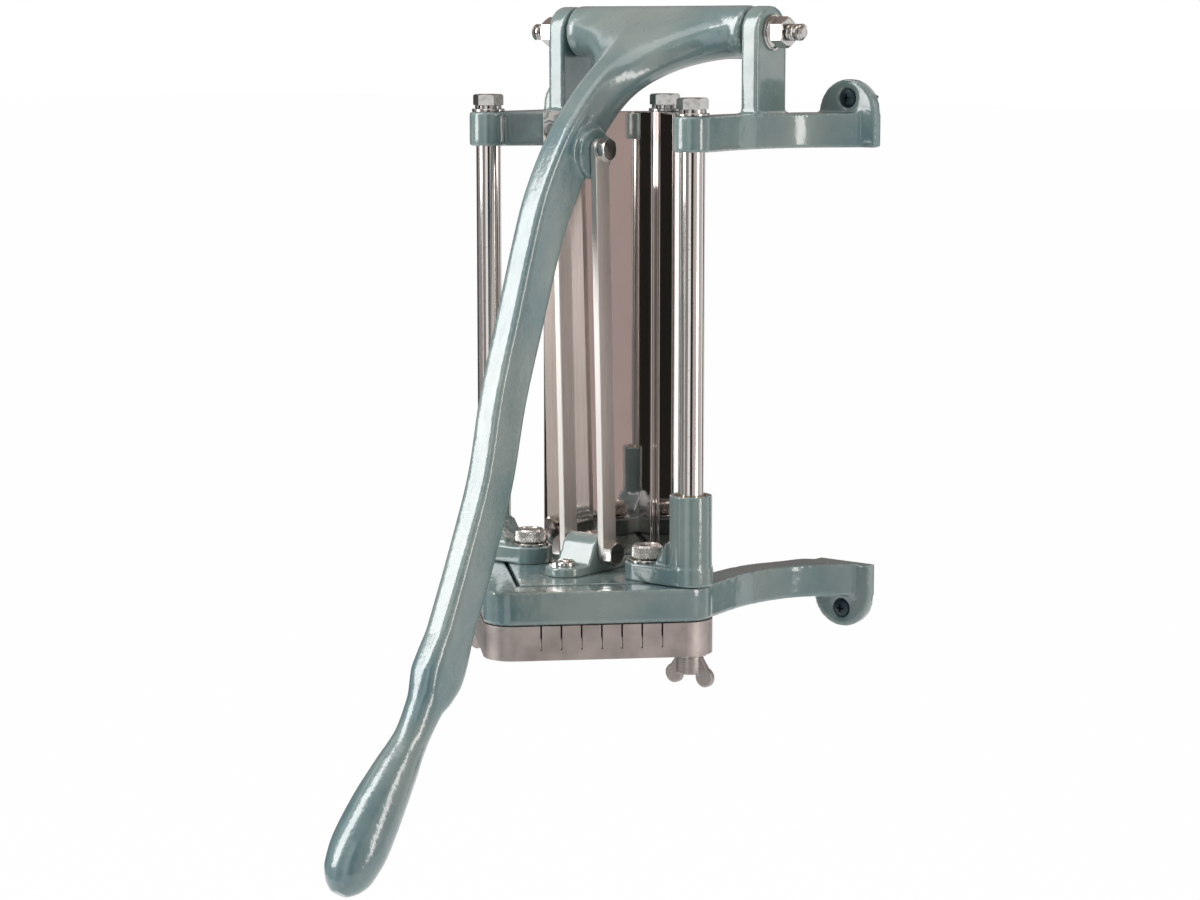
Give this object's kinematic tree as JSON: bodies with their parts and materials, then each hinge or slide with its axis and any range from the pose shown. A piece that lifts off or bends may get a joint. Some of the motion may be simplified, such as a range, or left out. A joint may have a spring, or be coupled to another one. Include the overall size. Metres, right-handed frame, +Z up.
{
  "type": "french fry cutter",
  "caption": "Wall-mounted lever cutter: a curved lever and two links push a potato down guide rods through crossed blades into strips.",
  "frame": {"origin": "centre of the four wall screws' pattern, on the wall plane", "axes": "+Z up along the guide rods, +Y into the wall, +X along the lever's pivot"},
  "size_m": [0.204, 0.3032, 0.3929],
  "materials": {
    "grey_green_enamel": "glossy enamel",
    "polished_steel": "polished",
    "stainless_sheet": "polished sheet",
    "tray_steel": "satin, worn",
    "blade_steel": "ground",
    "cast_aluminium": "as cast",
    "zinc_fasteners": "zinc plated",
    "bronze_bushes": "plain",
    "dark_wall_screws": "blued"
  },
  "bodies": {
    "frame": {"upper_frame": "grey_green_enamel", "lower_frame": "grey_green_enamel", "left_guide_rod": "polished_steel", "right_guide_rod": "polished_steel", "back_tie_rod": "polished_steel", "rod_cap_bolts": "zinc_fasteners", "rod_spring_washers": "zinc_fasteners", "rod_flat_washers": "zinc_fasteners", "potato_trough": "stainless_sheet", "trough_screws": "zinc_fasteners", "blade_tray": "tray_steel", "lower_blades": "blade_steel", "upper_blades": "blade_steel", "wing_nut_washers": "zinc_fasteners", "pivot_bolt": "zinc_fasteners", "pivot_washers": "zinc_fasteners", "pivot_nuts": "zinc_fasteners", "wall_screws": "dark_wall_screws"},
    "lever": {"lever": "grey_green_enamel", "hub_bushes": "bronze_bushes", "link_bolt": "zinc_fasteners", "link_washers": "zinc_fasteners", "link_nut": "zinc_fasteners"},
    "links": {"left_link": "stainless_sheet", "right_link": "stainless_sheet", "lower_link_pins": "zinc_fasteners"},
    "pusher": {"pusher_plate": "grey_green_enamel", "pusher_block": "cast_aluminium", "left_slider": "grey_green_enamel", "right_slider": "grey_green_enamel", "slider_bushes": "bronze_bushes", "link_bracket": "grey_green_enamel", "bracket_screws": "zinc_fasteners", "thumb_studs": "zinc_fasteners", "thumb_washers": "zinc_fasteners"},
    "left_wing_nut": {"left_wing_nut": "zinc_fasteners"},
    "right_wing_nut": {"right_wing_nut": "zinc_fasteners"},
    "left_thumb_nut": {"left_thumb_nut": "zinc_fasteners"},
    "right_thumb_nut": {"right_thumb_nut": "zinc_fasteners"}
  },
  "joints": [
    {"name": "lever_swing", "type": "hinge", "parent": "frame", "child": "lever", "pos_m": [0, -0.0365, 0.1563], "axis": [-1, 0, 0], "range_deg": [0, 110]},
    {"name": "link_swing", "type": "hinge", "parent": "lever", "child": "links", "pos_m": [0, -0.104, 0.10171], "axis": [1, 0, 0], "range_deg": [0, 98.35]},
    {"name": "pusher_slide", "type": "slide", "parent": "frame", "child": "pusher", "axis": [0, 0, 1], "range_m": [0, 0.13948]},
    {"name": "left_wing_nut_spin", "type": "hinge", "parent": "frame", "child": "left_wing_nut", "pos_m": [-0.0615, -0.098, -0.1443], "axis": [0, 0, 1], "continuous": true},
    {"name": "right_wing_nut_spin", "type": "hinge", "parent": "frame", "child": "right_wing_nut", "pos_m": [0.0615, -0.098, -0.1443], "axis": [0, 0, 1], "continuous": true},
    {"name": "left_thumb_nut_spin", "type": "hinge", "parent": "pusher", "child": "left_thumb_nut", "pos_m": [-0.036, -0.098, -0.092], "axis": [0, 0, 1], "continuous": true},
    {"name": "right_thumb_nut_spin", "type": "hinge", "parent": "pusher", "child": "right_thumb_nut", "pos_m": [0.036, -0.098, -0.092], "axis": [0, 0, 1], "continuous": true}
  ],
  "couplings": [
    {"joint": "link_swing", "follows": "lever_swing", "ratio": 0.89406},
    {"joint": "pusher_slide", "follows": "lever_swing", "m_per_rad": 0.072645}
  ]
}
